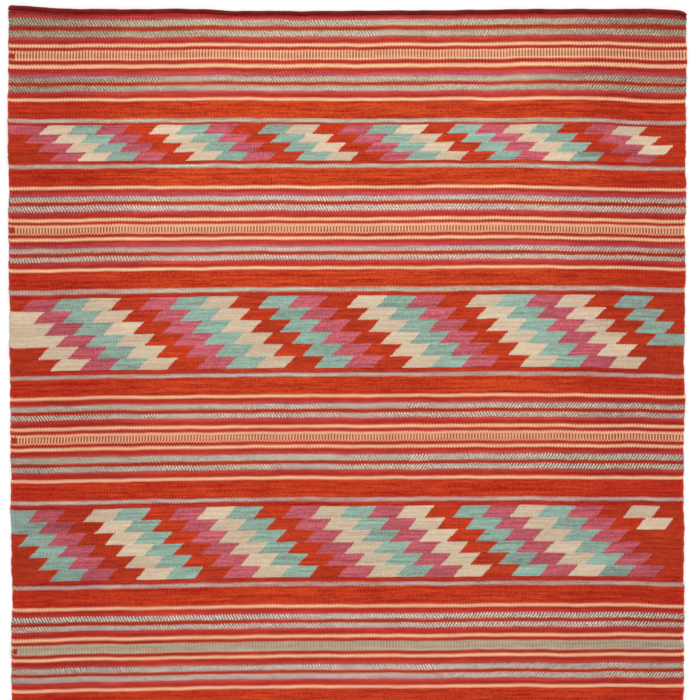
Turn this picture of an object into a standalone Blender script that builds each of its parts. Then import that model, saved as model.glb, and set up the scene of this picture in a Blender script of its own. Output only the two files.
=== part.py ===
"""Area rug: a weft-faced flat weave, built from its warp cord, weft bands, selvedge cords and rolled ends.

Metres, +Z up. The rug lies flat with its underside at z = 0 and its middle over the origin.
+Y points to the head end, and +X lies across the rug, to the right of someone looking from
above with the head end away from them.
"""

import math

import bpy

# Driving dimensions
RUG_WIDTH = 1.52
PICK = 0.001395  # height that one beaten-down pass of weft takes up
CLOTH_THICKNESS = 0.0045
WEFT_THICKNESS = 0.0012  # one layer of packed weft, above or below the warp
ROLL_WIDTH = 0.012  # the rolled hem at each end
ROLL_HEIGHT = 0.007
GAP = 0.0003  # between pieces that touch on the real rug

# Warp and selvedge cords
WARP_RADIUS = 0.0008
WARP_RUNS = 54  # each run stands for eight neighbouring cords
SELVEDGE_RADIUS = 0.00085
CORD_MARGIN = 0.0035  # from the rug's edge to the middle of a selvedge cord
WARP_MARGIN = 0.009  # from the rug's edge to the outermost warp run

# Picks of weft in each line of a stripe group, head end first:
# head lines, head marl, centre with its ladder, foot marl, foot lines
STRIPE_GROUPS = (
    ((7,), (10, 7, 10), (5, 5, 6, 6, 16, 6, 6, 6, 4, 4), (9, 6, 8), (5, 6, 6)),
    ((6, 5, 4, 3), (8, 6, 9), (5, 6, 6, 5, 15, 6, 5, 5, 4, 3), (7, 6, 8), (5, 6, 6)),
    ((6, 6, 4), (8, 7, 7), (5, 6, 6, 6, 15, 5, 6, 6, 4), (10, 6, 8), (4, 7, 6)),
    ((6, 6, 4), (8, 6, 7), (4, 6, 6, 6, 15, 6, 5, 7, 4), (9, 6, 8), (5, 6, 6)),
    ((6, 6, 5), (8, 6, 7), (3, 4, 5, 5, 6, 15, 5, 6, 6, 5), (9, 6, 8), (3, 4, 5, 6)),
    ((6, 6, 5), (8, 6, 9), (4, 4, 6, 6, 6, 16, 6, 6, 5, 5), (10, 7, 10), (7,)),
)
PLAIN_PICKS = 28
SMALL_PANEL_ROWS = (15, 14, 15, 14)
LARGE_PANEL_ROWS = (20, 19, 20, 19, 20, 19)
# Between two stripe groups: picks of grey line and red margin above the panel, rows of the
# panel, picks of red margin and grey line below it
PANELS = (
    ((6, 4), SMALL_PANEL_ROWS, (6, 6)),
    ((7, 7), LARGE_PANEL_ROWS, (8, 6)),
    ((6, 8), LARGE_PANEL_ROWS, (8, 6)),
    ((7, 7), LARGE_PANEL_ROWS, (8, 6)),
    ((6, 6), SMALL_PANEL_ROWS, (4, 6)),
)

# Base colour, roughness
YARNS = {
    "cotton": ((0.80, 0.72, 0.58), 0.9),
    "crimson": ((0.22, 0.010, 0.006), 0.9),
    "orange": ((0.56, 0.050, 0.015), 0.9),
    "red": ((0.46, 0.045, 0.022), 0.9),
    "rose": ((0.50, 0.060, 0.090), 0.9),
    "marl": ((0.52, 0.42, 0.32), 0.9),
    "peach": ((0.72, 0.33, 0.17), 0.9),
    "sage": ((0.50, 0.45, 0.30), 0.9),
    "grey": ((0.45, 0.36, 0.25), 0.9),
    "turquoise": ((0.26, 0.50, 0.42), 0.9),
}


def clear_scene():
    for item in list(bpy.data.objects):
        bpy.data.objects.remove(item, do_unlink=True)


def yarn_material(yarn, node):
    """Each piece has a material of its own, in its yarn's colour."""
    color, roughness = YARNS[yarn]
    material = bpy.data.materials.new(f"{yarn}_{node}")
    material.use_nodes = True
    shader = material.node_tree.nodes["Principled BSDF"]
    shader.inputs["Base Color"].default_value = (*color, 1.0)
    shader.inputs["Roughness"].default_value = roughness
    shader.inputs["Metallic"].default_value = 0.0
    material.diffuse_color = (*color, 1.0)
    return material


def add_piece(name, data, yarn, collection):
    """Puts a mesh or curve in the rug's collection as one named piece."""
    piece = bpy.data.objects.new(name, data)
    piece.data.materials.append(yarn_material(yarn, name))
    collection.objects.link(piece)
    return piece


def add_spline(curve, points, closed):
    """Adds one straight-segment line through (x, y) or (x, y, z) points."""
    spline = curve.splines.new("POLY")
    spline.points.add(len(points) - 1)
    for corner, place in zip(spline.points, points):
        x, y, z = (*place, 0.0)[:3]
        corner.co = (x, y, z, 1.0)
    spline.use_cyclic_u = closed


def rounded_slot(half_width, low, high, steps=3):
    """Outline of a flat slot with half-round ends, anticlockwise from its lower right."""
    radius = (high - low) / 2
    middle = (high + low) / 2
    points = []
    for side, start in ((1, -0.5), (-1, 0.5)):
        for step in range(steps + 1):
            angle = math.pi * (start + step / steps)
            x = side * (half_width - radius) + radius * math.cos(angle)
            points.append((x, middle + radius * math.sin(angle)))
    return points


def flat_curve(name, outlines, depth):
    """A filled outline, holes included, with the given depth."""
    curve = bpy.data.curves.new(name, "CURVE")
    curve.dimensions = "2D"
    curve.fill_mode = "BOTH"
    curve.extrude = depth / 2
    for outline in outlines:
        add_spline(curve, outline, closed=True)
    return curve


def weft_band(name, yarn, head_y, foot_y, collection):
    """Packed weft as a flat sleeve: it passes over the warp, round the selvedge and back under."""
    sleeve = (
        rounded_slot(RUG_WIDTH / 2, 0.0, CLOTH_THICKNESS),
        rounded_slot(
            RUG_WIDTH / 2 - WEFT_THICKNESS, WEFT_THICKNESS, CLOTH_THICKNESS - WEFT_THICKNESS
        ),
    )
    curve = flat_curve(name, sleeve, head_y - foot_y - GAP)
    piece = add_piece(name, curve, yarn, collection)
    piece.location = (0.0, (head_y + foot_y) / 2, 0.0)
    piece.rotation_euler = (math.pi / 2, 0.0, 0.0)
    return piece


def rolled_end(name, outer_y, towards, collection):
    """The hem: the web's last picks rolled over into a firm cord, flat where it lies."""
    radius = ROLL_HEIGHT / 2
    straight = ROLL_WIDTH - 2 * radius
    outline = [(0.0008, 0.0), (ROLL_WIDTH - 0.0008, 0.0)]
    for step in range(9):
        angle = math.pi * (-0.15 + 1.3 * step / 8)
        shift = radius + straight * (1.0 if step < 4 else 0.0 if step > 4 else 0.5)
        outline.append((shift + radius * math.cos(angle), radius + radius * math.sin(angle)))
    curve = flat_curve(name, (outline,), RUG_WIDTH)
    piece = add_piece(name, curve, "crimson", collection)
    # the outline's first side faces the rug's middle at the head end, and its outside at the foot end
    low_y = outer_y - ROLL_WIDTH if towards > 0 else outer_y
    piece.location = (0.0, low_y, 0.0)
    piece.rotation_euler = (math.pi / 2, 0.0, math.pi / 2)
    return piece


def tube_curve(name, points, radius, resolution):
    curve = bpy.data.curves.new(name, "CURVE")
    curve.dimensions = "3D"
    curve.bevel_depth = radius
    curve.bevel_resolution = resolution
    curve.use_fill_caps = True
    add_spline(curve, points, closed=False)
    return curve


def warp_cord(end_y, collection):
    """One continuous cord, wound back and forth from end to end as it is on the loom."""
    level = CLOTH_THICKNESS / 2
    first = -RUG_WIDTH / 2 + WARP_MARGIN
    pitch = -2 * first / (WARP_RUNS - 1)
    turn = pitch / 4
    points = []
    for run in range(WARP_RUNS):
        x = first + run * pitch
        way = 1 if run % 2 == 0 else -1
        points.append((x, -way * (end_y - turn), level))
        points.append((x, way * (end_y - turn), level))
        if run < WARP_RUNS - 1:
            points.append((x + turn, way * end_y, level))
            points.append((x + pitch - turn, way * end_y, level))
    add_piece("warp", tube_curve("warp", points, WARP_RADIUS, 1), "cotton", collection)


def selvedge_cord(name, side, end_y, collection):
    """The firmer cord that the weft turns round at each long edge."""
    x = side * (RUG_WIDTH / 2 - CORD_MARGIN)
    level = CLOTH_THICKNESS / 2
    points = [(x, -end_y, level), (x, end_y, level)]
    add_piece(name, tube_curve(name, points, SELVEDGE_RADIUS, 2), "cotton", collection)


def band_order():
    """Every weft band from head to foot: its name, its yarn and its picks."""
    bands = []
    parts = ("head_lines", "head_marl", "centre", "foot_marl", "foot_lines")
    yarns = ("rose", "marl", "peach", "marl", "rose")
    for number, group in enumerate(STRIPE_GROUPS, start=1):
        for part, yarn, lines in zip(parts, yarns, group):
            shade = "sage" if number == 4 and part == "centre" else yarn
            bands.append((f"stripes_{number}_{part}", shade, sum(lines)))
        if number > len(PANELS):
            break
        above, rows, below = PANELS[number - 1]
        panel_yarn = "turquoise" if number % 2 else "rose"
        upper, lower = 2 * number - 1, 2 * number
        bands.append((f"plain_band_{upper:02d}", "orange", PLAIN_PICKS))
        bands.append((f"grey_line_{upper:02d}", "grey", sum(above)))
        bands.append((f"zigzag_panel_{number}", panel_yarn, sum(rows)))
        bands.append((f"grey_line_{lower:02d}", "grey", sum(below)))
        bands.append((f"plain_band_{lower:02d}", "orange", PLAIN_PICKS))
    return bands


def build_rug():
    clear_scene()
    collection = bpy.data.collections.new("area_rug")
    bpy.context.scene.collection.children.link(collection)
    bands = band_order()
    web_half = sum(picks for _, _, picks in bands) * PICK / 2
    rolled_end("head_roll", web_half + ROLL_WIDTH, 1, collection)
    rolled_end("foot_roll", -web_half - ROLL_WIDTH, -1, collection)
    head_y = web_half
    for name, yarn, picks in bands:
        foot_y = head_y - picks * PICK
        weft_band(name, yarn, head_y, foot_y, collection)
        head_y = foot_y
    cord_end = web_half - GAP
    warp_cord(cord_end - WARP_RADIUS, collection)
    selvedge_cord("left_selvedge_cord", -1, cord_end, collection)
    selvedge_cord("right_selvedge_cord", 1, cord_end, collection)


build_rug()
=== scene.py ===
import math

import bpy
import numpy as np
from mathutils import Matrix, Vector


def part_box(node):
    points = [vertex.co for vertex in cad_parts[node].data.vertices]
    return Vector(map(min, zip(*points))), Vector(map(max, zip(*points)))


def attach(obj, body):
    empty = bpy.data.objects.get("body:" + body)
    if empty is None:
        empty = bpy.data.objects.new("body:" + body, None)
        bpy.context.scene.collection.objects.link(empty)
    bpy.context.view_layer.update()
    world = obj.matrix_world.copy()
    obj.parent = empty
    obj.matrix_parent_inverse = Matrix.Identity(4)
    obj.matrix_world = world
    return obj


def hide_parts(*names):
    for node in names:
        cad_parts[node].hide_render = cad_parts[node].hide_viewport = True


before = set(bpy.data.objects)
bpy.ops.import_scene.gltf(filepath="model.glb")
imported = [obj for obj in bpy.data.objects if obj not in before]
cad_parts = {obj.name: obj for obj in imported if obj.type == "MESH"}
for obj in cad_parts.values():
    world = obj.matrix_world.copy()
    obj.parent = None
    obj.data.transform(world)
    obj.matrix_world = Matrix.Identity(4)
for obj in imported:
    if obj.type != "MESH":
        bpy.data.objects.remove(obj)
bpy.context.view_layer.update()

scene = bpy.context.scene

# The cloth is described in the weaver's own units: warp counts ribs from the left selvedge,
# and pick counts passes of weft from the head end.
cloth = {
    "warps": 440,
    "thickness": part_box("plain_band_05")[1][2],
    "ribDepth": 0.0007,       # from the top of a rib down to the groove beside it
    "linePillow": 0.0004,     # how far the middle of a line of yarn stands above its edges
    "picksPerRow": 6,         # picks between two rows of mesh points
    "nose": 0.4,              # how far the side bulges past the last warp, in warps
    "bakeGap": 0.006,         # free space between the strips of the square map
}

# How the cloth lies, in metres. Positive drops go towards the foot. Where a value changes along
# the rug, it is given as its start, then stretches: from, to and the change over that stretch.
lie = {
    "leftSide": (-0.005, (0.2, 1.4, 0.0078), (1.7, 2.3, -0.003)),
    "rightSide": (0.0004, (0, 1.15, -0.0056), (1.6, 2.3, 0.005)),
    "leftDrop": (0.0011, (0.2, 0.7, 0.0086), (1.3, 1.45, 0.0020), (1.75, 2.35, -0.006)),
    "leftReach": 0.65,        # how far in from the left selvedge leftDrop fades out
    "rightDrop": (0.0011, (0.1, 0.22, 0.0056), (0.42, 0.6, -0.0023), (0.78, 0.95, -0.0034),
                  (1.3, 1.4, -0.0034), (1.8, 2.2, 0.003)),
    "rightFrom": 0.52,        # where rightDrop sets in across the rug, and where it is full
    "rightTo": 0.74,
    "cornerLift": 0.0135,     # how far the left corner at the head is pulled up
    "liftReach": 0.010,
    "liftShare": 0.45,        # the part of the lift that the whole left third takes
    "liftFade": (0.35, 0.5),
    "tipReach": 0.03,
    "dip": 0.0027,            # how far the lines hang down right of the middle
    "dipNearHead": 0.0025,
    "dipFade": (0.08, 0.25),
    "dipPlace": 0.385,
    "dipWidth": 0.17,
    "cornerRadius": (0.007, 0.020),   # at the head end, left and right
    "cornerTurn": 0.87,       # how far into a quarter circle a corner goes
    "cornerReach": 0.012,
    "lineWander": 0.0008,
    "clearance": 0.0002,
    "fieldWave": 0.0012,
    "selvedgeWave": 0.0026,
    "selvedgeReach": 0.14,
    "selvedgeWander": 0.0011,
    # How far lines have slipped towards the foot, at distances from the head
    "slack": ((0.0, 0.0), (0.1, 0.0003), (0.17, 0.0012), (0.25, 0.0005), (0.45, -0.0012),
              (0.65, -0.0036), (0.78, -0.0036), (0.86, -0.0044), (0.95, -0.0038),
              (1.08, -0.0018), (1.3, -0.0040), (1.4, -0.0014), (1.7, -0.0014), (2.4, 0.0)),
    # Swells of the lines: place across, distance from the head, reach both ways, and drop
    "swells": ((-0.303, 0.10, 0.05, 0.22, -0.0020), (0.105, 0.05, 0.05, 0.09, -0.0020),
               (0.320, 0.09, 0.06, 0.15, 0.0030), (0.567, 0.08, 0.08, 0.12, -0.0028),
               (-0.717, 0.12, 0.08, 0.15, 0.0018), (-0.540, 0.50, 0.18, 0.16, -0.0022),
               (0.500, 0.42, 0.10, 0.12, 0.0030), (0.218, 0.45, 0.04, 0.08, -0.0022),
               (-0.540, 0.90, 0.15, 0.13, -0.0022), (0.117, 0.87, 0.07, 0.08, -0.0012),
               (0.660, 1.05, 0.06, 0.25, -0.0022), (0.567, 1.30, 0.08, 0.07, -0.0014),
               (-0.244, 1.43, 0.07, 0.10, 0.0016), (0.240, 1.75, 0.10, 0.12, 0.0022),
               (-0.420, 2.05, 0.12, 0.14, -0.0024), (0.520, 2.15, 0.09, 0.13, -0.0020),
               (-0.720, 0.00, 0.05, 0.03, -0.0046), (0.680, 0.01, 0.10, 0.04, -0.0048),
               (-0.500, 0.00, 0.12, 0.04, 0.0012), (0.200, 1.27, 0.80, 0.06, -0.0012),
               (-0.230, 0.22, 0.06, 0.05, -0.0018), (0.370, 0.22, 0.05, 0.05, 0.0018),
               (0.550, 0.36, 0.16, 0.05, 0.0026), (0.630, 0.61, 0.11, 0.06, -0.0030),
               (-0.560, 0.88, 0.12, 0.10, -0.0018), (0.500, 1.06, 0.20, 0.06, 0.0014),
               (-0.600, 1.41, 0.09, 0.16, -0.0022), (0.590, 1.41, 0.07, 0.16, -0.0020)),
}


def smooth(low, high, value):
    t = np.clip((value - low) / (high - low), 0, 1)
    return t * t * (3 - 2 * t)


def changing(values, down, base=0.0):
    # The value of one of the lists in lie at a distance from the head end
    total = base + values[0]
    for low, high, amount in values[1:]:
        total = total + amount * smooth(low, high, down)
    return total


def waves(seed, place, wavelengths):
    # A smooth wander of about one either way, made of a few sine waves
    phases = np.random.default_rng(seed).uniform(0, 2 * math.pi, len(wavelengths))
    parts = [np.sin(2 * math.pi * place / w + p) for w, p in zip(wavelengths, phases)]
    return sum(parts) / math.sqrt(len(parts))


def dye(red, green, blue):
    # A yarn's colour from everyday values of 0 to 255
    values = np.array((red, green, blue)) / 255
    linear = np.where(values <= 0.04045, values / 12.92, ((values + 0.055) / 1.055) ** 2.4)
    return (*(float(x) for x in linear), 1.0)


black, white = (0, 0, 0, 1), (1, 1, 1, 1)
yarns = {
    "orange": dye(206, 63, 26),
    # Crimson lines the rolled ends: a darker yarn, partly painted shadow of the roll
    "crimson": dye(176, 44, 40),
    "hem": dye(104, 12, 8),
    "red": dye(196, 56, 32),
    "rose": dye(208, 74, 74),
    "lilac": dye(198, 102, 118),
    "peach": dye(252, 196, 156),
    "ticks": dye(250, 184, 146),
    "marl": dye(246, 224, 202),
    "sage": dye(202, 190, 162),
    "sageTicks": dye(196, 182, 154),
    "grey": dye(200, 177, 153),
    "o": dye(194, 57, 27),
    "p": dye(198, 94, 105),
    "t": dye(150, 175, 160),
    "c": dye(220, 193, 165),
}
# The marled yarn: its two plies in the middle of the rug and at its sides, and their diagonals. At
# the sides the plies are darker, partly a deeper dye, partly painted shade.
# A stripe group has its own tint, and how dark it goes at the sides and how much it blurs.
marl = {
    "middle": (yarns["marl"], dye(126, 116, 84)),
    "sides": (dye(206, 190, 156), dye(96, 106, 74)),
    "period": 2.0,            # warps from one diagonal to the next
    "slope": 0.29,            # warps for each pick
    "turnsOver": 0.64,        # a larger value gives more diagonals like a backslash
    "drift": 2.0,
    "jitter": 0.6,
    "tint": (white, (1.16, 1.08, 1.19, 1), (1.02, 1.12, 1.21, 1),
             (1.05, 1.14, 1.27, 1), (1.02, 1.12, 1.21, 1), (1.16, 1.08, 1.19, 1)),
    "sideDarkness": (0.85, 0.5, 0.5, 0.5, 0.5, 0.5),
    "blur": (0.9, 1.0, 0.35, 0.25, 0.35, 1.0),
}
ticks = {
    "brown": dye(172, 92, 60),
    "olive": dye(158, 138, 106),
    "red": dye(192, 62, 38),
    "redEnd": 3.6,            # warps at the left selvedge where the line of ticks is red
    "strength": {"brown": 1.0, "olive": 0.45},
    "faintest": 0.62,
    "uneven": 0.55,
}

# Lines of weft, head side first: yarn and picks
stripeDrafts = {
    1: "crimson 3, rose 4, marl 10, red 7, marl 10, rose 5, red 6, peach 5, red 6, ladder 15, "
       "red 7, peach 6, red 6, rose 4, lilac 4, marl 8, red 6, marl 9, rose 5, red 6, peach 5, "
       "orange 1",
    2: "orange 1, peach 5, red 5, rose 4, lilac 3, marl 8, red 6, marl 9, lilac 2, rose 3, "
       "red 7, peach 5, red 5, ladder 15, red 6, peach 5, red 5, rose 4, lilac 3, marl 7, red 6, "
       "marl 8, rose 5, red 6, peach 5, orange 1",
    3: "orange 1, peach 5, red 6, rose 4, marl 8, red 7, marl 7, rose 5, red 7, peach 5, red 6, "
       "ladder 15, red 6, peach 5, red 6, rose 4, marl 10, red 6, marl 8, rose 4, red 7, "
       "peach 5, orange 1",
    4: "orange 1, peach 5, red 6, rose 4, marl 8, red 6, marl 7, rose 4, red 7, peach 5, red 6, "
       "sageLadder 15, red 6, peach 5, red 7, rose 4, marl 9, red 6, marl 8, rose 5, red 6, "
       "peach 5, orange 1",
    5: "orange 1, peach 5, red 6, rose 5, marl 8, red 6, marl 7, lilac 3, rose 4, red 5, peach 5, "
       "red 6, ladder 15, red 6, peach 5, red 6, rose 5, marl 9, red 6, marl 8, lilac 3, rose 4, "
       "red 5, peach 5, orange 1",
    6: "orange 1, peach 5, red 6, rose 5, marl 8, red 6, marl 9, lilac 4, rose 4, red 7, peach 5, "
       "red 6, ladder 16, red 6, peach 5, red 6, rose 5, marl 10, red 7, marl 10, rose 4, "
       "crimson 3",
}
plainBand = "orange 28"

# Zigzag panels. A cell of the first row ends at warp first, and the next ones follow a cell's
# width apart. Each row moves right by shift, which changes from the left to the right selvedge,
# and inside a row the edges lean. The letters are the yarns of the cells from left to right.
lowRows, tallRows = (15, 14) * 2, (20, 19) * 3
panelDrafts = {
    1: {"above": "grey 6, red 4", "below": "red 6, grey 6", "rows": lowRows,
        "first": 7.8, "cell": 17.7, "shift": (8.1, 8.75), "lean": 5.9, "fade": 1.08,
        "cells": "ctpoctpotcoptcotpctop",
        "leftEnds": ("pp", "op", "op", "op"), "rightEnds": ("co", "co", "co", "oo")},
    2: {"above": "grey 7, red 7", "below": "red 8, grey 6", "rows": tallRows,
        "first": -5.6, "cell": 19.37, "shift": (7.65, 6.95), "lean": 7.5, "fade": 1.0,
        "cells": "ptcoptcotpoctpoctpc",
        "leftEnds": ("oo", "cc", "cc", "cc", "oc", "oc"),
        "rightEnds": ("oto", "oto", "oto", "ott", "ooo", "ooo")},
    3: {"above": "grey 6, red 8", "below": "red 8, grey 6", "rows": tallRows,
        "first": -1.6, "cell": 18.58, "shift": (6.4, 8.0), "lean": 7.0, "fade": 0.96,
        "cells": "poctopctopctpcotpctp",
        "leftEnds": ("tt", "tt", "ot", "ot", "ot", "ot"),
        "rightEnds": ("oco", "oco", "ooo", "ooo", "ooo", "ooo")},
    4: {"above": "grey 7, red 7", "below": "red 8, grey 6", "rows": tallRows,
        "first": -4.2, "cell": 19.0, "shift": (7.2, 7.5), "lean": 7.3, "fade": 0.98,
        "cells": "tpcotcpoctpotcptocpt",
        "leftEnds": ("oo", "pp", "pp", "op", "op", "op"),
        "rightEnds": ("coo", "coo", "oco", "ooo", "ooo", "ooo")},
    5: {"above": "grey 6, red 6", "below": "red 4, grey 6", "rows": lowRows,
        "first": 5.2, "cell": 17.9, "shift": (8.4, 8.6), "lean": 5.9, "fade": 1.0,
        "cells": "tcpotcopctpoctpotcopc",
        "leftEnds": ("cc", "oc", "oc", "oc"), "rightEnds": ("to", "to", "oo", "oo")},
}
ladderFrame = (3, 2)          # picks of plain yarn above and below the ticks of a ladder line


def readDraft(text):
    lines = []
    for item in text.split(","):
        yarn, picks = item.split()
        picks = int(picks)
        if yarn.endswith("adder"):
            sage = yarn == "sageLadder"
            frameYarn, tickYarn = ("sage", "sageTicks") if sage else ("peach", "ticks")
            above, below = ladderFrame
            lines += [(frameYarn, above), (tickYarn, picks - above - below), (frameYarn, below)]
        else:
            lines.append((yarn, picks))
    return lines


def borderWeb(number, draft, nodes):
    return {"name": f"border_web_{number:02d}", "kind": "stripes", "lines": readDraft(draft),
            "nodes": [f"{node}_{number:02d}" for node in nodes], "slot": "orange_wool"}


def listWebs():
    # Every web of the rug from head to foot: its kind, lines, and the modelled nodes it stands for
    parts = ("head_lines", "head_marl", "centre", "foot_marl", "foot_lines")
    webs = []
    for number, draft in stripeDrafts.items():
        nodes = [f"stripes_{number}_{part}" for part in parts]
        webs.append({"name": f"striped_web_{number}", "kind": "stripes", "lines": readDraft(draft),
                     "nodes": nodes, "slot": "stripe_wool", "group": number})
        if number not in panelDrafts:
            continue
        panel = panelDrafts[number]
        rows = [("row", picks) for picks in panel["rows"]]
        webs.append(borderWeb(2 * number - 1, plainBand + "," + panel["above"],
                              ("plain_band", "grey_line")))
        webs.append({"name": f"zigzag_web_{number}", "kind": "panel", "lines": rows, "panel": panel,
                     "nodes": [f"zigzag_panel_{number}"], "slot": "panel_wool"})
        webs.append(borderWeb(2 * number, panel["below"] + "," + plainBand,
                              ("grey_line", "plain_band")))
    start = 0
    for web in webs:
        web["start"] = start
        web["picks"] = sum(picks for yarn, picks in web["lines"])
        start += web["picks"]
    return webs, start


webs, totalPicks = listWebs()
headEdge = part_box("stripes_1_head_lines")[1][1]
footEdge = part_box("stripes_6_foot_lines")[0][1]
pickHeight = (headEdge - footEdge) / totalPicks
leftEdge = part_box("plain_band_05")[0][0]
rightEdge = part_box("plain_band_05")[1][0]
warpWidth = (rightEdge - leftEdge) / cloth["warps"]
print("draft read:", len(webs), "webs,", totalPicks, "picks of", round(pickHeight * 1000, 3), "mm")


def lieOfCloth(warp, pick):
    # Where a warp and a pick cross on the lying cloth: x, y and the height of the underside
    down = pick * pickHeight
    left = changing(lie["leftSide"], down, leftEdge)
    right = changing(lie["rightSide"], down, rightEdge)
    left = left + lie["selvedgeWander"] * waves(3, down, (0.31, 0.13, 0.062, 0.029))
    right = right + lie["selvedgeWander"] * waves(4, down, (0.27, 0.15, 0.071, 0.033))
    x = left + (right - left) * warp / cloth["warps"]

    fromLeft = x - leftEdge
    pastHead = np.maximum(down, 0)
    drop = changing(lie["leftDrop"], down) * (1 - smooth(0, lie["leftReach"], fromLeft))
    share = lie["liftShare"]
    lift = share * (1 - smooth(*lie["liftFade"], fromLeft))
    lift = lift + (1 - share) * np.exp(-np.maximum(fromLeft, 0) / lie["tipReach"])
    drop = drop - lie["cornerLift"] * lift * np.exp(-pastHead / lie["liftReach"])

    dip = lie["dip"] + lie["dipNearHead"] * (1 - smooth(*lie["dipFade"], down))
    drop = drop - dip * np.exp(-(((x - lie["dipPlace"]) / lie["dipWidth"]) ** 2))
    rightDrop = changing(lie["rightDrop"], down)
    drop = drop + rightDrop * smooth(lie["rightFrom"], lie["rightTo"], x)
    turn = lie["cornerTurn"]
    for radius, inside in zip(lie["cornerRadius"], (x - left, right - x)):
        reached = np.clip(turn * (1 - inside / radius), 0, turn)
        rounding = radius * (1 - np.sqrt(1 - reached ** 2))
        drop = drop + rounding * np.exp(-pastHead / lie["cornerReach"])
    drop = drop + 0.6 * lie["lineWander"] * waves(5, x + 0.4 * down, (0.31, 0.17, 0.083))
    drop = drop + 0.4 * lie["lineWander"] * waves(6, x - 1.1 * down, (0.22, 0.12, 0.05))
    drop = drop + np.interp(down, *zip(*lie["slack"]))
    for across, along, wide, long, amount in lie["swells"]:
        drop = drop + amount * np.exp(-(((x - across) / wide) ** 2) - ((down - along) / long) ** 2)
    y = headEdge - down - drop

    field = lie["fieldWave"] * (1 + waves(7, x + 0.3 * down, (0.46, 0.29)) * 0.5
                                + waves(8, down - 0.2 * x, (0.61, 0.34)) * 0.5)
    side = 1 - smooth(0, lie["selvedgeReach"], np.minimum(x - leftEdge, rightEdge - x))
    edge = lie["selvedgeWave"] * side * (1 + waves(9, down + 0.5 * np.sign(x), (0.41, 0.23, 0.16)))
    z = np.maximum(lie["clearance"], lie["clearance"] + field + edge)
    return x, y, z


def meshRows(web):
    # Mesh rows of a web: a pick for each, and how far it is up the pillow of its line
    rows = [(web["start"], 0.0)]
    place = web["start"]
    for yarn, picks in web["lines"]:
        steps = max(2, round(picks / cloth["picksPerRow"]))
        for step in range(1, steps):
            rows.append((place + picks * step / steps, 1.0))
        place += picks
        rows.append((place, 0.0))
    return rows


def bakeLayout(picks):
    # Shares of the square map: the face, the back at half size, both ends and the two sides,
    # each folded into the number of strips that fills the square most evenly
    height = picks * pickHeight
    width = rightEdge - leftEdge
    thick = cloth["thickness"]

    def tallness(strips):
        return 1.5 * strips * height + (2 * strips + 1) * thick

    strips = min(range(1, 9), key=lambda n: max(width / n, tallness(n)))
    heights = [height] * strips + [height / 2] * strips + [thick] * (2 * strips + 1)
    gap = cloth["bakeGap"]
    scale = (1 - gap * (len(heights) + 1)) / sum(heights)
    tops = gap + np.cumsum([0] + [h * scale + gap for h in heights[:-1]])
    return strips, tops, np.array(heights) * scale


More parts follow.
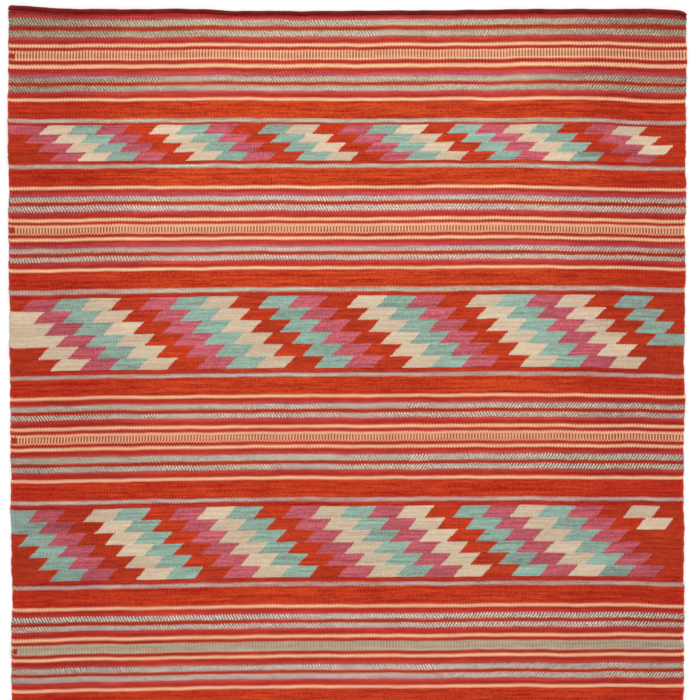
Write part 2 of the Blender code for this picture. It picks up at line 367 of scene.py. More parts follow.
def buildWeb(web):
    warps = cloth["warps"]
    columns = np.arange(2 * warps + 1) / 2
    ridge = columns % 1 == 0.5
    top = len(columns)
    ring = top + warps + 3    # points in a mesh row: the face, a side, the back, the other side
    rows = meshRows(web)
    warpOf = np.concatenate((columns, [warps + cloth["nose"]], np.arange(warps, -1, -1),
                             [-cloth["nose"]]))
    warpAll = np.tile(warpOf, (len(rows), 1))
    pickAll = np.empty_like(warpAll)
    liftAll = np.empty_like(warpAll)
    for number, (pick, pillow) in enumerate(rows):
        pickAll[number] = pick + 0.5
        if pillow == 0 and 0 < pick < totalPicks:
            # Where two yarns meet, each rib ends on its own pick, so the edge is toothed
            pickAll[number, :top][ridge] = pick + (pick - np.floor(columns[ridge])) % 2
        crown = cloth["thickness"] - (1 - pillow) * cloth["linePillow"]
        liftAll[number, :top] = crown - np.where(ridge, 0, cloth["ribDepth"])
        liftAll[number, top] = crown * 0.5
        liftAll[number, top + 1:-1] = (1 - pillow) * cloth["linePillow"]
        liftAll[number, -1] = crown * 0.5
    x, y, z = lieOfCloth(warpAll, pickAll)
    points = np.stack((x, y, z + liftAll), axis=-1).reshape(-1, 3)

    strips, tops, heights = bakeLayout(web["picks"])
    span = web["picks"] + 1.0
    along = (pickAll - web["start"]) / span
    margin = cloth["bakeGap"]
    faces, drafts, bakes, sizes = [], [], [], []

    def addFaces(corners, strip, across, upward):
        # corners: points of each face; across and upward: its place inside its strip
        faces.append(corners.ravel())
        sizes.append(np.full(len(corners), corners.shape[1]))
        flatWarp, flatPick = warpAll.ravel()[corners], pickAll.ravel()[corners]
        drafts.append(np.stack((flatWarp, flatPick), axis=-1).reshape(-1, 2))
        bakeX = margin + (1 - 2 * margin) * across
        bakeY = tops[strip][:, None] + heights[strip][:, None] * upward
        bakes.append(np.stack((bakeX, bakeY), axis=-1).reshape(-1, 2))

    def addQuads(first, last, stripOf, acrossOf, upwardOf):
        # Quads between ring places first..last and the next ones, for every pair of rows
        places = np.arange(first, last)
        row, place = np.meshgrid(np.arange(len(rows) - 1), places, indexing="ij")
        row, place = row.ravel(), place.ravel()
        following = (place + 1) % ring
        corners = np.stack((row * ring + place, (row + 1) * ring + place,
                            (row + 1) * ring + following, row * ring + following), axis=-1)
        step = np.stack((place, place, place + 1, place + 1), axis=-1)
        strip = stripOf(place)
        addFaces(corners, strip, acrossOf(step, strip, corners), upwardOf(step, corners))

    faceStrip = math.ceil(2 * warps / strips)
    backStrip = math.ceil(warps / strips)
    flatAlong = along.ravel()
    backStart = top + 1
    addQuads(0, top - 1, lambda place: place // faceStrip,
             lambda step, strip, corners: (step - strip[:, None] * faceStrip) / faceStrip,
             lambda step, corners: flatAlong[corners])
    addQuads(backStart, backStart + warps, lambda place: strips + (place - backStart) // backStrip,
             lambda step, strip, corners:
             (step - backStart - (strip - strips)[:, None] * backStrip) / backStrip,
             lambda step, corners: flatAlong[corners])
    # Both sides share the last strip, one in each half of it
    sideStrip = 4 * strips
    for first, offset in ((top - 1, 0.0), (ring - 2, 0.52)):
        addQuads(first, first + 2, lambda place: np.full(len(place), sideStrip),
                 lambda step, strip, corners: offset + 0.48 * flatAlong[corners],
                 lambda step, corners: (step - first) / 2)

    # The two ends: a five-sided face under each rib, and a small one at each side
    warpList = np.arange(warps)
    back = backStart + warps - warpList
    rib = np.stack((2 * warpList, 2 * warpList + 1, 2 * warpList + 2, back - 1, back), axis=-1)
    nose = np.array(((top - 1, top, top + 1), (ring - 2, ring - 1, 0)))
    for end, base, turned in ((0, 0, False), (1, (len(rows) - 1) * ring, True)):
        for local in (rib, nose):
            centre = np.clip(warpOf[local].mean(axis=1), 0, warps - 1)
            number = (centre // backStrip).astype(int)
            across = (warpOf[local] - number[:, None] * backStrip) / backStrip
            upward = np.where(local < top, 1.0, 0.0)
            upward = np.where((local == top) | (local == ring - 1), 0.5, upward)
            corners = local + base
            if turned:
                corners, across, upward = corners[:, ::-1], across[:, ::-1], upward[:, ::-1]
            addFaces(corners, (2 + end) * strips + number, across, upward)

    mesh = bpy.data.meshes.new(web["name"])
    cornerList = np.concatenate(faces).astype(np.int32)
    sizeList = np.concatenate(sizes)
    starts = np.concatenate(([0], np.cumsum(sizeList)[:-1])).astype(np.int32)
    mesh.vertices.add(len(points))
    mesh.vertices.foreach_set("co", points.astype(np.float32).ravel())
    mesh.loops.add(len(cornerList))
    mesh.loops.foreach_set("vertex_index", cornerList)
    mesh.polygons.add(len(starts))
    mesh.polygons.foreach_set("loop_start", starts)
    mesh.update(calc_edges=True)
    for name, values in (("OFBake", bakes), ("draft", drafts)):
        layer = mesh.uv_layers.new(name=name)
        layer.data.foreach_set("uv", np.concatenate(values).astype(np.float32).ravel())
    mesh.validate()
    mesh.shade_smooth()
    mesh.set_sharp_from_angle(angle=math.radians(65))
    piece = bpy.data.objects.new(web["name"], mesh)
    scene.collection.objects.link(piece)
    return piece


class Strand:
    # A node's output that can be used in sums. Without a socket it only makes nodes.
    def __init__(self, tree, socket=None):
        self.tree = tree
        self.socket = socket

    def node(self, kind, settings=None, inputs=None, output=0):
        made = self.tree.nodes.new(kind)
        for key, value in (settings or {}).items():
            if key == "stops":
                fillRamp(made.color_ramp, value)
            else:
                setattr(made, key, value)
        for key, value in (inputs or {}).items():
            if isinstance(value, Strand):
                self.tree.links.new(value.socket, made.inputs[key])
            else:
                made.inputs[key].default_value = value
        return Strand(self.tree, made.outputs[output] if len(made.outputs) else None)

    def other(self, name):
        return Strand(self.tree, self.socket.node.outputs[name])

    def math(self, operation, *values):
        return self.node("ShaderNodeMath", {"operation": operation}, dict(enumerate(values)))

    def __add__(self, value):
        return self.math("ADD", self, value)

    def __radd__(self, value):
        return self.math("ADD", value, self)

    def __sub__(self, value):
        return self.math("SUBTRACT", self, value)

    def __rsub__(self, value):
        return self.math("SUBTRACT", value, self)

    def __mul__(self, value):
        return self.math("MULTIPLY", self, value)

    def __rmul__(self, value):
        return self.math("MULTIPLY", value, self)

    def __truediv__(self, value):
        return self.math("DIVIDE", self, value)

    def __mod__(self, value):
        return self.math("FLOORED_MODULO", self, value)

    def __pow__(self, value):
        return self.math("POWER", self, value)

    def __gt__(self, value):
        return self.math("GREATER_THAN", self, value)

    def __lt__(self, value):
        return self.math("LESS_THAN", self, value)

    def floor(self):
        return self.math("FLOOR", self)

    def sine(self):
        return self.math("SINE", self)

    def within(self, low, high):
        return self.math("MAXIMUM", self.math("MINIMUM", self, high), low)

    def vector(self, x, y, z):
        return self.node("ShaderNodeCombineXYZ", None, {"X": x, "Y": y, "Z": z})

    def noise(self, x, y, z, detail=2.0):
        return self.noiseAt(self.vector(x, y, z), 1.0, detail)

    def noiseAt(self, place, scale, detail):
        return self.node("ShaderNodeTexNoise", None,
                         {"Vector": place, "Scale": scale, "Detail": detail})

    def speckle(self, x, y, z):
        return self.node("ShaderNodeTexWhiteNoise", None, {"Vector": self.vector(x, y, z)})

    def mix(self, factor, first, second, blend="MIX"):
        settings = {"data_type": "RGBA", "blend_type": blend, "clamp_result": False}
        return self.node("ShaderNodeMix", settings, {0: factor, 6: first, 7: second}, 2)

    def tinted(self, colour, tint):
        return self.mix(1.0, colour, tint, "MULTIPLY")

    def circle(self, points, radius):
        return self.node("GeometryNodeCurvePrimitiveCircle", {"mode": "RADIUS"},
                         {"Resolution": points, "Radius": radius})

    def randomVector(self, least, most, seed):
        return self.node("FunctionNodeRandomValue", {"data_type": "FLOAT_VECTOR"},
                         {0: least, 1: most, "Seed": seed})

    def ramp(self, place, stops):
        return self.node("ShaderNodeValToRGB", {"stops": stops}, {0: place})

    def rise(self, value, low, high):
        return self.node("ShaderNodeMapRange", {"interpolation_type": "SMOOTHSTEP"},
                         {"Value": value, "From Min": low, "From Max": high})


def fillRamp(ramp, stops):
    # Stops are (position, colour) in order, each colour holding up to the next stop
    ramp.interpolation = "CONSTANT"
    ramp.elements[0].position = stops[0][0]
    ramp.elements[0].color = stops[0][1]
    ramp.elements.remove(ramp.elements[1])
    for position, colour in stops[1:]:
        ramp.elements.new(position).color = colour


def lineStops(lines, valueOf):
    # A ramp's stops for lines of picks, joined where the value stays the same
    total = sum(picks for yarn, picks in lines)
    stops, place = [], 0
    for yarn, picks in lines:
        value = valueOf(yarn)
        if not stops or stops[-1][1] != value:
            stops.append((place / total, value))
        place += picks
    return stops


wool = {
    "roughness": 0.92,
    "sheen": 0.08,
    "sheenRoughness": 0.5,
    "specular": 0.12,
    "floatHeight": 0.55,      # the roundness of one float of weft, in millimetres
    "twistHeight": 0.07,
    "fibreHeight": 0.09,
    "longStreak": (0.014, 0.26, 2.1),   # how fine across and along the rug, and how strong
    "shortStreak": (0.07, 0.55, 1.9),
    "singleFloats": 0.45,
    "fibres": 0.5,
    "streaks": {
        "orange_wool": ((0.66, 0.30, 0.34, 1), (1.30, 1.95, 2.00, 1)),
        "stripe_wool": ((0.72, 0.58, 0.60, 1), (1.24, 1.42, 1.40, 1)),
        "panel_wool": ((0.68, 0.54, 0.55, 1), (1.30, 1.52, 1.50, 1)),
    },
    "middleTint": (1.02, 1.02, 1.02, 1),
    # The side tint: partly a deeper dye, partly painted shade
    "sideTint": {"orange_wool": (0.82, 0.54, 0.66, 1), "stripe_wool": (0.79, 0.64, 0.68, 1),
                 "panel_wool": (0.88, 0.80, 0.82, 1)},
    "footTint": {"orange_wool": (0.90, 0.70, 0.80, 1), "stripe_wool": (0.91, 0.82, 0.82, 1),
                 "panel_wool": white},
    "calmLight": 0.65,        # how much more even the light yarns are than the red ones
    "floatLean": 0.4,         # in picks
    "sideFrom": 0.50,         # where the darker sides set in, and where they are full: partly a deeper dye, partly painted shade
    "sideTo": 0.85,
    "footFrom": 200.0,        # the same for the darker, redder colour towards the foot, in picks
    "footTo": 850.0,
    "gapShade": 0.34,         # painted shade: how much darker the gaps between floats are
    "headShade": 0.16,        # painted shadow: how much darker the corners at the head are
    "headPicks": 32,
    "toothReach": 0.4,        # in picks, where two lines of yarn meet
}


def woolSurface(name):
    material = bpy.data.materials.new(name)
    material.use_nodes = True
    tree = material.node_tree
    tree.nodes.clear()
    return material, Strand(tree)


def finishWool(n, colour, height):
    # height is the relief in millimetres
    bump = n.node("ShaderNodeBump", None, {"Strength": 1.0, "Distance": 0.001, "Height": height})
    shader = n.node("ShaderNodeBsdfPrincipled", None, {
        "Base Color": colour,
        "Roughness": wool["roughness"],
        "Specular IOR Level": wool["specular"],
        "Sheen Weight": wool["sheen"],
        "Sheen Roughness": wool["sheenRoughness"],
        "Normal": bump,
    })
    n.node("ShaderNodeOutputMaterial", None, {"Surface": shader})


def toothShift(n, web, v, parity):
    # Alternate ribs reach further over the line where two yarns meet. Which ones do so
    # depends on whether the meeting pick is even or odd.
    stops, place = [(0.0, black if web["start"] % 2 else white)], web["start"]
    for yarn, picks in web["lines"][:-1]:
        middle = place + picks / 2
        place += picks
        value = black if place % 2 else white
        if value != stops[-1][1]:
            stops.append(((middle - web["start"]) / web["picks"], value))
    even = n.ramp((v - web["start"]) / web["picks"], stops)
    return wool["toothReach"] * (2 * even - 1) * (1 - 2 * parity)


def wovenWool(seed, web, weftColour):
    # A weft-faced plain weave: on every second rib a pick passes over, two picks tall
    material, n = woolSurface(web["name"] + "_wool")
    slot = web["slot"]
    onDraft = n.node("ShaderNodeUVMap", {"uv_map": "draft"})
    draft = n.node("ShaderNodeSeparateXYZ", None, {0: onDraft})
    u, v = draft.other("X"), draft.other("Y")
    warp = u.floor().within(0, cloth["warps"] - 1)
    across = (u - warp).within(0, 1)
    parity = warp % 2
    leaning = v + wool["floatLean"] * (across - 0.5)
    if web["kind"] == "stripes":
        leaning = leaning + toothShift(n, web, v, parity)
    floatStart = 2 * ((leaning - parity) / 2).floor() + parity
    pick = floatStart.within(web["start"], web["start"] + web["picks"] - 1)
    along = (leaning - floatStart) / 2

    # Dye: long streaks of one pass of yarn, shorter thick and thin places, single floats
    def streak(name, place, detail):
        fineAcross, fineAlong, strength = wool[name]
        return strength * (n.noise(u * fineAcross, pick * fineAlong, place, detail) - 0.5)

    single = n.speckle(warp, pick, seed)
    fibre = n.noise(u * 3.1, v * 2.3, seed + 3.0, 4.0)
    tone = 0.5 + streak("longStreak", seed, 3.0) + streak("shortStreak", seed + 11.0, 2.0)
    tone = tone + wool["singleFloats"] * (single - 0.5)
    colour = weftColour(n, u, v, warp, pick)
    lightness = n.node("ShaderNodeRGBToBW", None, {0: colour})
    calm = 1 - wool["calmLight"] * ((lightness - 0.25) / 0.3).within(0, 1)
    tone = (0.5 + calm * (tone + wool["fibres"] * (fibre - 0.5) - 0.5)).within(0, 1)
    colour = n.tinted(colour, n.mix(tone, *wool["streaks"][slot]))

    # Near the selvedges the colour is darker and redder: partly a deeper dye, partly painted shade
    side = n.math("ABSOLUTE", 2 * (u / cloth["warps"] - 0.5))
    side = side + 0.5 * (n.noise(u * 0.02, v * 0.03, seed + 5.0, 2.0) - 0.5)
    sideDyeAndShade = n.rise(side, wool["sideFrom"], wool["sideTo"])
    colour = n.tinted(colour, n.mix(sideDyeAndShade * calm, wool["middleTint"], wool["sideTint"][slot]))
    towardsFoot = n.rise(v, wool["footFrom"], wool["footTo"]) * (1 - 0.6 * sideDyeAndShade)
    colour = n.tinted(colour, n.mix(towardsFoot, white, wool["footTint"][slot]))

    # Floats are rounded in both directions, with painted shade in the gaps between them
    endOf = (2 * along - 1) ** 4
    edgeOf = (2 * across - 1) ** 4
    gap = (endOf * 0.7 + edgeOf * 0.5).within(0, 1)
    nearHead = (1 - v / wool["headPicks"]).within(0, 1)
    # Painted shade in the gaps between floats, and painted shadow near the head end at the sides
    shade = (1 - wool["gapShade"] * gap) * (1 - wool["headShade"] * sideDyeAndShade * nearHead)
    colour = n.tinted(colour, n.vector(shade, shade, shade))
    twist = (2 * math.pi * (across * 1.6 + along * 1.9)).sine()
    height = wool["floatHeight"] * (1 - gap) + wool["twistHeight"] * twist * (1 - gap)
    height = height + wool["fibreHeight"] * fibre
    finishWool(n, colour, height)
    return material


def stripeColour(web):
    lines, start, picks = web["lines"], web["start"], web["picks"]
    names = {yarn for yarn, count in lines}

    def colourOf(n, u, v, warp, pick):
        place = (pick - start + 0.8) / picks
        base = n.ramp(place, lineStops(lines, yarns.get))

        def maskOf(*wanted):
            return n.ramp(place, lineStops(lines, lambda yarn: white if yarn in wanted else black))

        if "marl" in names:
            # Two plies, cream and grey-green, whose turns fall into diagonals
            group = web["group"] - 1
            patch = n.noise(u * 0.018, start * 1.0, 5.0, 1.0) + 0.8 * (u / cloth["warps"] - 0.5)
            turn = 2 * (patch < marl["turnsOver"]) - 1
            drift = marl["drift"] * n.noise(u * 0.015, start * 0.1, 8.0, 1.0)
            jitter = marl["jitter"] * (n.speckle(warp, pick, 4.0) - 0.5)
            diagonal = u - marl["slope"] * turn * (v - start) + drift + jitter
            # Darker plies towards the sides, as the whole cloth is: partly a deeper dye, partly
            # painted shade
            side = n.math("ABSOLUTE", 2 * (u / cloth["warps"] - 0.5))
            darker = 1.3 * side - 0.35 + 1.3 * (n.noise(u * 0.03, pick * 0.12, 2.0, 2.0) - 0.5)
            darker = darker.within(0, 1) * marl["sideDarkness"][group]
            light = n.mix(darker, marl["middle"][0], marl["sides"][0])
            shade = n.mix(darker, marl["middle"][1], marl["sides"][1])
            ply = n.mix(diagonal / marl["period"] % 1 < 0.5, light, shade)
            # In places the two plies lie too close to be told apart
            blurred = (2.4 * n.noise(u * 0.13, pick * 0.35, 7.0, 2.0) - 0.8).within(0, 1)
            marled = n.mix(blurred * marl["blur"][group], ply, n.mix(0.5, light, shade))
            base = n.mix(maskOf("marl"), base, n.tinted(marled, marl["tint"][group]))
        if names & {"ticks", "sageTicks"}:
            # Picks of two yarns in turn, so that every second rib is the darker one
            kind = "brown" if "ticks" in names else "olive"
            faint = ticks["faintest"] + ticks["uneven"] * n.noise(u * 0.09, start * 1.0, 6.0, 2.0)
            atEnd = u < ticks["redEnd"]
            wanted = n.math("MAXIMUM", (warp % 2) * ticks["strength"][kind] * faint, atEnd)
            tick = (maskOf("ticks", "sageTicks") * wanted).within(0, 1)
            shade = n.mix(atEnd, ticks[kind], ticks["red"])
            base = n.mix(tick, base, shade)
        return base

    return colourOf


def cellLetters(panel, row):
    return panel["leftEnds"][row] + panel["cells"] + panel["rightEnds"][row]


def panelColour(web):
    panel, start = web["panel"], web["start"]
    meanPicks = web["picks"] / len(panel["rows"])

    def colourOf(n, u, v, warp, pick):
        row, rowStart = 0.0, float(start)
        edge = start
        for picks in panel["rows"][:-1]:
            edge += picks
            reached = pick > edge - 0.5
            row = reached + row
            rowStart = reached * float(picks) + rowStart
        reach = panel["shift"]
        shift = reach[0] + (reach[1] - reach[0]) * u / cloth["warps"]
        uneven = 1.6 * (n.noise(u * 0.045, row * 3.0, start * 0.1, 1.0) - 0.5)
        place = warp + 0.5 + uneven - shift * row + panel["lean"] * (pick - rowStart) / meanPicks
        cell = ((place - panel["first"]) / panel["cell"]).floor() + 1

        colour, previous = None, None
        for number in range(len(panel["rows"])):
            letters = cellLetters(panel, number)
            if letters == previous:
                continue
            previous = letters
            count = len(letters)
            stops = lineStops([(letter, 1) for letter in letters], yarns.get)
            where = ((cell + 0.5) / count).within(0, 1 - 0.3 / count)
            dyed = n.ramp(where, stops)
            colour = dyed if colour is None else n.mix(row > number - 0.5, colour, dyed)
        lot = panel["fade"] * (0.90 + 0.2 * n.speckle(cell, row, start * 0.37))
        return n.tinted(colour, n.vector(lot, lot, lot))

    return colourOf


def weaveAll():
    made = []
    for number, web in enumerate(webs):
        piece = buildWeb(web)
        colourOf = panelColour(web) if web["kind"] == "panel" else stripeColour(web)
        piece.data.materials.append(wovenWool(17.0 * number, web, colourOf))
        made.append(piece)
    return made


webPieces = weaveAll()
print("webs woven:", sum(len(p.data.polygons) for p in webPieces), "faces")


def treeFor(name, inputs):
    # A Geometry Nodes tree that winds yarn, with a geometry input and named sizes
    tree = bpy.data.node_groups.new(name, "GeometryNodeTree")
    tree.interface.new_socket("Geometry", in_out="INPUT", socket_type="NodeSocketGeometry")
    common = {"Points round": ("Int", 12), "Half width": ("Float", 0.005),
              "Half height": ("Float", 0.003), "Yarn radius": ("Float", 0.001),
              "Seed": ("Int", 1), "Material": ("Material", None)}
    for label, (kind, value) in {**common, **inputs}.items():
        socket = tree.interface.new_socket(label, in_out="INPUT", socket_type="NodeSocket" + kind)
        if kind != "Material":
            socket.default_value = value
    tree.interface.new_socket("Geometry", in_out="OUTPUT", socket_type="NodeSocketGeometry")
    n = Strand(tree)
    return tree, n, n.node("NodeGroupInput")


def ringOfYarn(n, given, width, turn):
    # One turn of yarn round a flattened core, before it is copied along a path
    circle = n.circle(given.other("Points round"), 1.0)
    size = n.vector(given.other("Half height"), width, 1.0)
    oval = n.node("GeometryNodeTransform", None, {"Geometry": circle, "Scale": size})
    section = n.circle(5, given.other("Yarn radius"))
    ring = n.node("GeometryNodeCurveToMesh", None, {"Curve": oval, "Profile Curve": section})
    return n.node("GeometryNodeTransform", None, {"Geometry": ring, "Rotation": turn})


def finishTree(n, geometry, given):
    real = n.node("GeometryNodeRealizeInstances", None, {"Geometry": geometry})
    soft = n.node("GeometryNodeSetShadeSmooth", None, {"Geometry": real})
    dressed = n.node("GeometryNodeSetMaterial", None,
                     {"Geometry": soft, "Material": given.other("Material")})
    n.node("NodeGroupOutput", None, {"Geometry": dressed})


def growPiece(name, points, edges, tree, values, colours=None):
    # Runs a tree on a path and keeps the result as a plain mesh
    mesh = bpy.data.meshes.new(name + "_path")
    mesh.from_pydata([tuple(p) for p in points], edges, [])
    if colours is not None:
        layer = mesh.attributes.new("yarnColour", "FLOAT_COLOR", "POINT")
        layer.data.foreach_set("color", np.array(colours, dtype=np.float32).ravel())
    carrier = bpy.data.objects.new(name + "_path", mesh)
    scene.collection.objects.link(carrier)
    modifier = carrier.modifiers.new("path", "NODES")
    modifier.node_group = tree
    for item in tree.interface.items_tree:
        if item.in_out == "INPUT" and item.name in values:
            modifier[item.identifier] = values[item.name]
    carrier.update_tag()
    graph = bpy.context.evaluated_depsgraph_get()
    grown = bpy.data.meshes.new_from_object(carrier.evaluated_get(graph))
    grown.name = name
    bpy.data.objects.remove(carrier)
    piece = bpy.data.objects.new(name, grown)
    scene.collection.objects.link(piece)
    return piece


whip = {
    "wraps": 640,             # turns of yarn along one rolled end
    "pointsRound": 12,
    "yarnRadius": 0.00135,
    "slant": 0.36,            # lean of the wraps, in radians
    "unevenness": 0.07,
    "inset": 0.0012,          # how far the web tucks into the roll
    "ends": (0.8, 1.2),       # how many warps the roll leaves free, left and right
    "pathPoints": 700,
    "rise": 0.6,              # how much of the cloth's ripple the roll follows
}


def whippedRollTree():
    inputs = {"Wraps": ("Int", 600), "Slant": ("Float", 0.5), "Unevenness": ("Float", 0.05)}
    tree, n, given = treeFor("whipped roll", inputs)
    path = n.node("GeometryNodeMeshToCurve", None, {"Mesh": given.other("Geometry")})
    stations = n.node("GeometryNodeResampleCurve", {"mode": "COUNT"},
                      {"Curve": path, "Count": given.other("Wraps")})
    slant = given.other("Slant")
    ring = ringOfYarn(n, given, given.other("Half width") / n.math("COSINE", slant),
                      n.vector(slant, 0.0, 0.0))
    tangent = n.node("GeometryNodeInputTangent")
    facing = n.node("FunctionNodeAlignRotationToVector", {"axis": "Z"}, {"Vector": tangent})
    uneven = given.other("Unevenness")
    least, most = n.vector(1 - uneven, 1 - uneven, 1.0), n.vector(1.0, 1.0, 1.0)
    size = n.randomVector(least, most, given.other("Seed"))
    wraps = n.node("GeometryNodeInstanceOnPoints", None,
                   {"Points": stations, "Instance": ring, "Rotation": facing, "Scale": size})
    coreRound = n.circle(given.other("Points round"), 1.0)
    coreSize = n.vector(given.other("Half width"), given.other("Half height"), 1.0)
    coreOval = n.node("GeometryNodeTransform", None, {"Geometry": coreRound, "Scale": coreSize})
    level = n.node("GeometryNodeSetCurveNormal", {"mode": "Z_UP"}, {"Curve": path})
    sweep = {"Curve": level, "Profile Curve": coreOval, "Fill Caps": True}
    core = n.node("GeometryNodeCurveToMesh", None, sweep)
    joined = n.node("GeometryNodeJoinGeometry", None, {"Geometry": wraps})
    n.tree.links.new(core.socket, joined.socket.node.inputs["Geometry"])
    finishTree(n, joined, given)
    return tree


def crimsonWool():
    material, n = woolSurface("crimson_whipping")
    place = n.node("ShaderNodeTexCoord", None, None, "Object")
    fibre, lot = n.noiseAt(place, 900.0, 4.0), n.noiseAt(place, 24.0, 3.0)
    tone = (0.5 + 1.6 * (lot - 0.5) + 0.9 * (fibre - 0.5)).within(0, 1)
    colour = n.mix(tone, dye(98, 8, 5), dye(142, 30, 20))
    finishWool(n, colour, 0.12 * fibre)
    return material


def buildRoll(name, node, material, seed):
    # The rolled hem follows the end of the cloth, wrap beside wrap
    low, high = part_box(node)
    halfWidth, halfHeight = (high[1] - low[1]) / 2, (high[2] - low[2]) / 2
    atHead = high[1] > 0
    beyond = halfWidth - whip["inset"]
    leftEnd, rightEnd = whip["ends"]
    warp = np.linspace(leftEnd, cloth["warps"] - rightEnd, whip["pathPoints"])
    pick = 0.0 if atHead else float(totalPicks)
    x, y, z = lieOfCloth(warp, np.full_like(warp, pick))
    slope = np.gradient(y, x)
    away = (beyond if atHead else -beyond) / np.sqrt(1 + slope ** 2)
    x, y = x - slope * away, y + away
    points = np.stack((x, y, np.maximum(z * whip["rise"], 0) + halfHeight), axis=-1)
    edges = [(i, i + 1) for i in range(len(points) - 1)]
    yarn = whip["yarnRadius"]
    values = {"Wraps": whip["wraps"], "Points round": whip["pointsRound"],
              "Half width": halfWidth - yarn, "Half height": halfHeight - yarn,
              "Yarn radius": yarn, "Slant": whip["slant"] if atHead else -whip["slant"],
              "Unevenness": whip["unevenness"], "Seed": seed, "Material": material}
    return growPiece(name, points, edges, rollTree, values)


rollTree = whippedRollTree()
crimson = crimsonWool()
headRoll = buildRoll("head_whipping", "head_roll", crimson, 3)
footRoll = buildRoll("foot_whipping", "foot_roll", crimson, 4)
print("ends rolled and whipped")


turns = {
    "pointsRound": 8,
    "picksPerTurn": 2,
    "pastEnds": 3,            # picks beyond both ends of the web
    "halfWidth": 0.0030,
    "tuck": 0.55,             # how far the turns reach over the web, of half their width
    "yarnRadius": 0.00122,
    "tilt": 0.22,             # the most that one turn leans away from its neighbours, in radians
}


def weftTurnTree():
    tree, n, given = treeFor("weft turns", {"Tilt": ("Float", 0.1)})
    ring = ringOfYarn(n, given, given.other("Half width"), (0.0, math.pi / 2, math.pi / 2))
    tilt = given.other("Tilt")
    least, most = n.vector(-1 * tilt, -1 * tilt, -1 * tilt), n.vector(tilt, tilt, tilt)
    lean = n.randomVector(least, most, given.other("Seed"))
    facing = n.node("FunctionNodeEulerToRotation", None, {0: lean})
    size = n.randomVector((0.86, 0.94, 0.9), (1.12, 1.06, 1.04), given.other("Seed"))
    placed = n.node("GeometryNodeInstanceOnPoints", None,
                    {"Points": given.other("Geometry"), "Instance": ring, "Rotation": facing,
                     "Scale": size})
    finishTree(n, placed, given)
    return tree


def turnedWool():
    material, n = woolSurface("turned_weft")
    yarn = n.node("ShaderNodeAttribute", {"attribute_name": "yarnColour"}, None, "Color")
    place = n.node("ShaderNodeTexCoord", None, None, "Object")
    fibre, lot = n.noiseAt(place, 1100.0, 3.0), n.noiseAt(place, 60.0, 3.0)
    tone = (0.5 + 1.4 * (lot - 0.5) + 0.9 * (fibre - 0.5)).within(0, 1)
    factor = n.mix(tone, (0.66, 0.60, 0.60, 1), (1.12, 1.2, 1.2, 1))
    finishWool(n, n.tinted(yarn, factor), 0.1 * fibre)
    return material


def yarnAtSelvedge(web, pick, warp):
    if web["kind"] == "stripes":
        place = web["start"]
        for yarn, picks in web["lines"]:
            place += picks
            if pick < place:
                break
        if yarn == "marl":
            return marl["sides"][pick // turns["picksPerTurn"] % 2]
        return ticks["red"] if yarn == "ticks" and warp == 0 else yarns[yarn]
    panel, rowStart = web["panel"], web["start"]
    for row, picks in enumerate(panel["rows"]):
        if pick < rowStart + picks:
            break
        rowStart += picks
    reach = panel["shift"]
    shift = reach[0] + (reach[1] - reach[0]) * warp / cloth["warps"]
    place = warp - shift * row + panel["lean"] * (pick - rowStart) / picks
    letters = cellLetters(panel, row)
    cell = math.floor((place - panel["first"]) / panel["cell"]) + 1
    return yarns[letters[min(max(cell, 0), len(letters) - 1)]]


def buildTurns(material):
    # At both selvedges every pass of weft turns round the cords, in its own colour
    points, colours = [], []
    for warp in (0.0, float(cloth["warps"])):
        picks = np.arange(-turns["pastEnds"], totalPicks + turns["pastEnds"] + 1,
                          turns["picksPerTurn"])
        tuck = turns["tuck"] if warp == 0 else -turns["tuck"]
        inward = turns["halfWidth"] / warpWidth * tuck
        x, y, z = lieOfCloth(np.full(len(picks), warp + inward), picks + 0.0)
        points += list(np.stack((x, y, z + cloth["thickness"] / 2), axis=-1))
        for pick in picks:
            if 0 < pick < totalPicks:
                web = next(w for w in webs if pick < w["start"] + w["picks"])
                colours.append(yarnAtSelvedge(web, pick, warp))
            else:
                colours.append(yarns["hem"])
    values = {"Points round": turns["pointsRound"], "Half width": turns["halfWidth"],
              "Half height": cloth["thickness"] / 2 - turns["yarnRadius"] * 0.9,
              "Yarn radius": turns["yarnRadius"], "Tilt": turns["tilt"], "Seed": 6,
              "Material": material}
    return growPiece("selvedge_turns", points, [], weftTurnTree(), values, colours)


selvedgeTurns = buildTurns(turnedWool())
print("selvedges turned:", len(selvedgeTurns.data.polygons), "faces")


# Floor, light and camera
studio = {
    "floorSize": 30.0,
    "floorColour": (0.97, 0.97, 0.97, 1),
    "skyStrength": 0.66,
    "sunEnergy": 1.75,
    "sunAngle": 24.0,
    "sunDirection": (-38.0, 0.0, -14.0),
    "sensorWidth": 36,
    "cameraHeight": 3.2,
    "framedWidth": 1.5785,
    "cameraPlace": (0.0038, 0.4332),
}


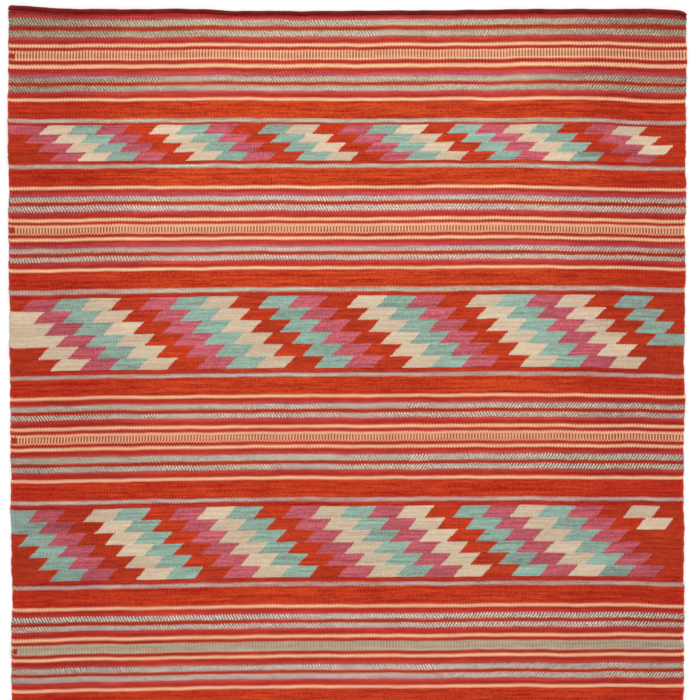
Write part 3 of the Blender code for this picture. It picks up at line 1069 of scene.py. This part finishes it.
def buildStudio():
    size = studio["floorSize"] / 2
    mesh = bpy.data.meshes.new("floor")
    mesh.from_pydata([(-size, -size, 0), (size, -size, 0), (size, size, 0), (-size, size, 0)],
                     [], [(0, 1, 2, 3)])
    floor = bpy.data.objects.new("floor", mesh)
    scene.collection.objects.link(floor)
    paint = bpy.data.materials.new("floor_paint")
    paint.use_nodes = True
    surface = paint.node_tree.nodes["Principled BSDF"]
    surface.inputs["Base Color"].default_value = studio["floorColour"]
    surface.inputs["Roughness"].default_value = 0.9
    surface.inputs["Specular IOR Level"].default_value = 0.1
    mesh.materials.append(paint)

    world = bpy.data.worlds.new("sky")
    world.use_nodes = True
    background = world.node_tree.nodes["Background"]
    background.inputs["Color"].default_value = white
    background.inputs["Strength"].default_value = studio["skyStrength"]
    scene.world = world

    lamp = bpy.data.lights.new("sun", "SUN")
    lamp.energy = studio["sunEnergy"]
    lamp.angle = math.radians(studio["sunAngle"])
    sun = bpy.data.objects.new("sun", lamp)
    sun.rotation_euler = [math.radians(angle) for angle in studio["sunDirection"]]
    scene.collection.objects.link(sun)

    lens = bpy.data.cameras.new("camera")
    lens.type = "PERSP"
    lens.sensor_width = studio["sensorWidth"]
    distance = studio["cameraHeight"] - cloth["thickness"]
    lens.lens = studio["sensorWidth"] * distance / studio["framedWidth"]
    lens.clip_end = 50
    camera = bpy.data.objects.new("camera", lens)
    camera.location = (*studio["cameraPlace"], studio["cameraHeight"])
    scene.collection.objects.link(camera)
    scene.camera = camera
    scene.view_settings.view_transform = "Standard"


buildStudio()


def declarePieces():
    for web, piece in zip(webs, webPieces):
        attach(piece, "root")
        nodes = web["nodes"] + (["warp"] if piece is webPieces[0] else [])
        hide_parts(*nodes)
        flat = (rightEdge - leftEdge, web["picks"] * pickHeight)
        others = [headRoll, selvedgeTurns] if piece is webPieces[0] else []
        others = [footRoll] if piece is webPieces[-1] else others
    for piece, node in ((headRoll, "head_roll"), (footRoll, "foot_roll")):
        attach(piece, "root")
        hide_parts(node)
    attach(selvedgeTurns, "root")
    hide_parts("left_selvedge_cord", "right_selvedge_cord")


declarePieces()
